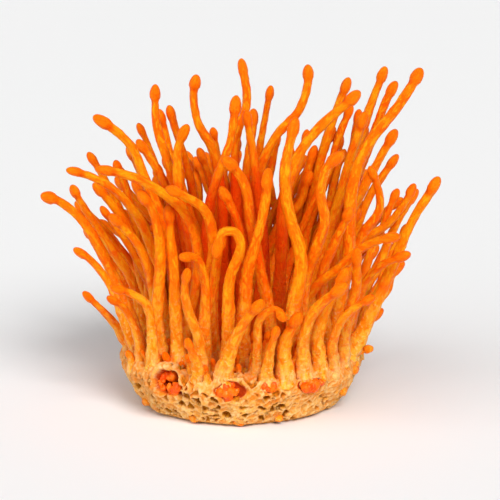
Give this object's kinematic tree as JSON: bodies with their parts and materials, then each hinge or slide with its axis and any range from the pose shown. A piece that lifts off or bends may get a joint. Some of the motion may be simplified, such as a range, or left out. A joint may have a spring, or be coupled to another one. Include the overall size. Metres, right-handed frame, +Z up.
{
  "type": "cordyceps bunch",
  "caption": "Clump of slender orange cordyceps fruiting bodies with club-shaped heads, standing on the round cake of grain and mycelium they grew from.",
  "frame": {"origin": "centre of the cake's flat underside, on the surface it stands on", "axes": "+Z up through the cake; -Y is the front, where the shortest fruiting bodies stand; +X is to the right seen from the front, across the bunch's widest spread"},
  "size_m": [0.1178, 0.1037, 0.1034],
  "materials": {
    "fruiting_body": "satin, waxy",
    "substrate": "matte, pitted"
  },
  "bodies": {
    "root": {"substrate_cake": "substrate", "front_stalk_1": "fruiting_body", "front_stalk_2": "fruiting_body", "front_stalk_3": "fruiting_body", "front_stalk_4": "fruiting_body", "front_stalk_5": "fruiting_body", "front_stalk_6": "fruiting_body", "front_stalk_7": "fruiting_body", "front_stalk_8": "fruiting_body", "front_stalk_9": "fruiting_body", "front_stalk_10": "fruiting_body", "middle_stalk_1": "fruiting_body", "middle_stalk_2": "fruiting_body", "middle_stalk_3": "fruiting_body", "middle_stalk_4": "fruiting_body", "middle_stalk_5": "fruiting_body", "middle_stalk_6": "fruiting_body", "middle_stalk_7": "fruiting_body", "middle_stalk_8": "fruiting_body", "middle_stalk_9": "fruiting_body", "middle_stalk_10": "fruiting_body", "middle_stalk_11": "fruiting_body", "middle_stalk_12": "fruiting_body", "middle_stalk_13": "fruiting_body", "middle_stalk_14": "fruiting_body", "middle_stalk_15": "fruiting_body", "left_stalk_1": "fruiting_body", "left_stalk_2": "fruiting_body", "left_stalk_3": "fruiting_body", "left_stalk_4": "fruiting_body", "left_stalk_5": "fruiting_body", "left_stalk_6": "fruiting_body", "left_stalk_7": "fruiting_body", "left_stalk_8": "fruiting_body", "left_stalk_9": "fruiting_body", "left_stalk_10": "fruiting_body", "left_stalk_11": "fruiting_body", "left_stalk_12": "fruiting_body", "left_stalk_13": "fruiting_body", "left_stalk_14": "fruiting_body", "left_stalk_15": "fruiting_body", "right_stalk_1": "fruiting_body", "right_stalk_2": "fruiting_body", "right_stalk_3": "fruiting_body", "right_stalk_4": "fruiting_body", "right_stalk_5": "fruiting_body", "right_stalk_6": "fruiting_body", "right_stalk_7": "fruiting_body", "right_stalk_8": "fruiting_body", "right_stalk_9": "fruiting_body", "left_tuft": "fruiting_body", "middle_left_tuft": "fruiting_body", "middle_tuft": "fruiting_body", "middle_right_tuft": "fruiting_body", "right_tuft": "fruiting_body", "right_rim_tuft": "fruiting_body", "back_left_tuft": "fruiting_body", "back_middle_left_tuft": "fruiting_body", "back_middle_right_tuft": "fruiting_body", "back_right_tuft": "fruiting_body"}
  },
  "joints": []
}
